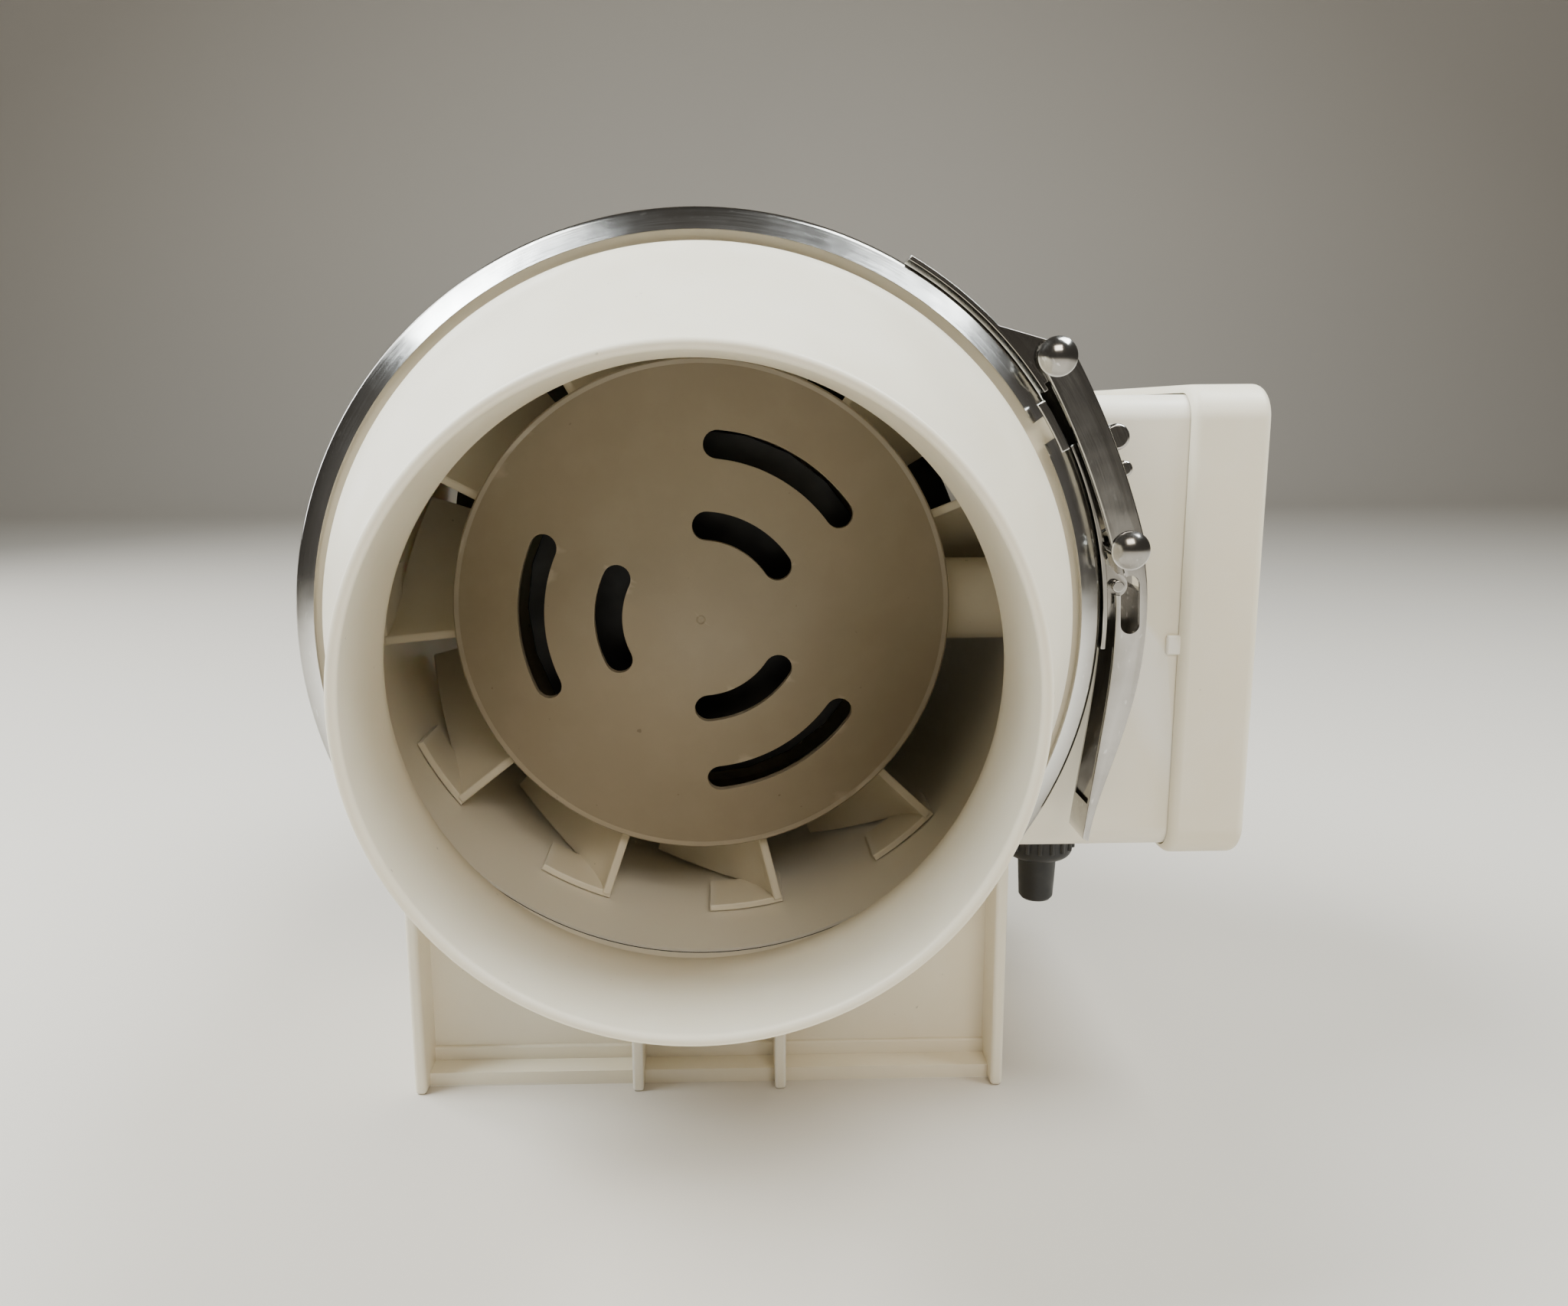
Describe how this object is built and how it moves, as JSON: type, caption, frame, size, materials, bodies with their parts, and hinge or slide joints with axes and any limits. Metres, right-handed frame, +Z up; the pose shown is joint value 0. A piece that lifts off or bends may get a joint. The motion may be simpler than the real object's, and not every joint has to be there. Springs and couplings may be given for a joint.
{
  "type": "inline duct fan",
  "caption": "Mixed-flow fan in a round casing between two flared duct collars, held by quick-release band clamps on a moulded foot, with a terminal box at the side.",
  "frame": {"origin": "underside of the foot, straight below the middle of the fan's axis", "axes": "+Z up, the fan's axis along Y with the outlet facing -Y, +X towards the terminal box"},
  "size_m": [0.1856, 0.246, 0.1843],
  "materials": {
    "ivory_plastic": "satin moulded",
    "hub_plastic": "satin moulded",
    "stainless": "polished",
    "black_plastic": "moulded",
    "seal_rubber": "matt",
    "zinc_steel": "zinc plated",
    "lamination_steel": "stacked sheet",
    "copper_winding": "enamelled copper wire",
    "lead_brown": "satin",
    "lead_blue": "satin",
    "capacitor_white": "gloss"
  },
  "bodies": {
    "root": {"bearing_inlet": "zinc_steel", "bearing_outlet": "zinc_steel", "box_gasket": "seal_rubber", "capacitor": "capacitor_white", "casing": "ivory_plastic", "cover_screw_1": "zinc_steel", "cover_screw_2": "zinc_steel", "cover_screw_3": "zinc_steel", "cover_screw_4": "zinc_steel", "foot": "ivory_plastic", "foot_screw_1": "zinc_steel", "foot_screw_2": "zinc_steel", "foot_screw_3": "zinc_steel", "foot_screw_4": "zinc_steel", "gland_body": "black_plastic", "gland_locknut": "black_plastic", "gland_nut": "black_plastic", "guide_vanes": "ivory_plastic", "hub_cover": "hub_plastic", "inlet_band": "stainless", "inlet_band_tongue": "stainless", "inlet_clamp_strap": "stainless", "inlet_collar": "ivory_plastic", "inlet_gasket": "seal_rubber", "inlet_hook_bracket": "stainless", "inlet_rivet_a": "stainless", "lead_live": "lead_brown", "lead_neutral": "lead_blue", "motor_end_shield": "zinc_steel", "motor_screw_1": "zinc_steel", "motor_screw_2": "zinc_steel", "motor_shell": "zinc_steel", "outlet_band": "stainless", "outlet_band_tongue": "stainless", "outlet_clamp_strap": "stainless", "outlet_collar": "ivory_plastic", "outlet_gasket": "seal_rubber", "outlet_hook_bracket": "stainless", "outlet_rivet_a": "stainless", "stator_core": "lamination_steel", "terminal_block": "black_plastic", "terminal_box_base": "ivory_plastic", "terminal_box_cover": "ivory_plastic", "winding_inlet_end": "copper_winding", "winding_outlet_end": "copper_winding"},
    "impeller_rotor": {"impeller": "black_plastic", "impeller_nut": "zinc_steel", "shaft": "zinc_steel", "rotor_core": "lamination_steel"},
    "outlet_link": {"outlet_clamp_link": "stainless", "outlet_rivet_b": "stainless", "outlet_safety_catch": "stainless"},
    "outlet_lever": {"outlet_clamp_lever": "stainless"},
    "inlet_link": {"inlet_clamp_link": "stainless", "inlet_rivet_b": "stainless", "inlet_safety_catch": "stainless"},
    "inlet_lever": {"inlet_clamp_lever": "stainless"}
  },
  "joints": [
    {"name": "impeller_spin", "type": "hinge", "parent": "root", "child": "impeller_rotor", "pos_m": [0, 0.02, 0.109], "axis": [0, 1, 0], "continuous": true},
    {"name": "outlet_link_swing", "type": "hinge", "parent": "root", "child": "outlet_link", "pos_m": [0.06445, -0.05425, 0.15757], "axis": [0, -1, 0], "range_deg": [0, 9]},
    {"name": "outlet_lever_release", "type": "hinge", "parent": "outlet_link", "child": "outlet_lever", "pos_m": [0.07923, -0.05425, 0.12269], "axis": [0, -1, 0], "range_deg": [0, 90]},
    {"name": "inlet_link_swing", "type": "hinge", "parent": "root", "child": "inlet_link", "pos_m": [0.06445, 0.05425, 0.15757], "axis": [0, -1, 0], "range_deg": [0, 9]},
    {"name": "inlet_lever_release", "type": "hinge", "parent": "inlet_link", "child": "inlet_lever", "pos_m": [0.07923, 0.05425, 0.12269], "axis": [0, -1, 0], "range_deg": [0, 90]}
  ],
  "couplings": [
    {"joint": "outlet_link_swing", "follows": "outlet_lever_release", "ratio": 0.1},
    {"joint": "inlet_link_swing", "follows": "inlet_lever_release", "ratio": 0.1}
  ]
}
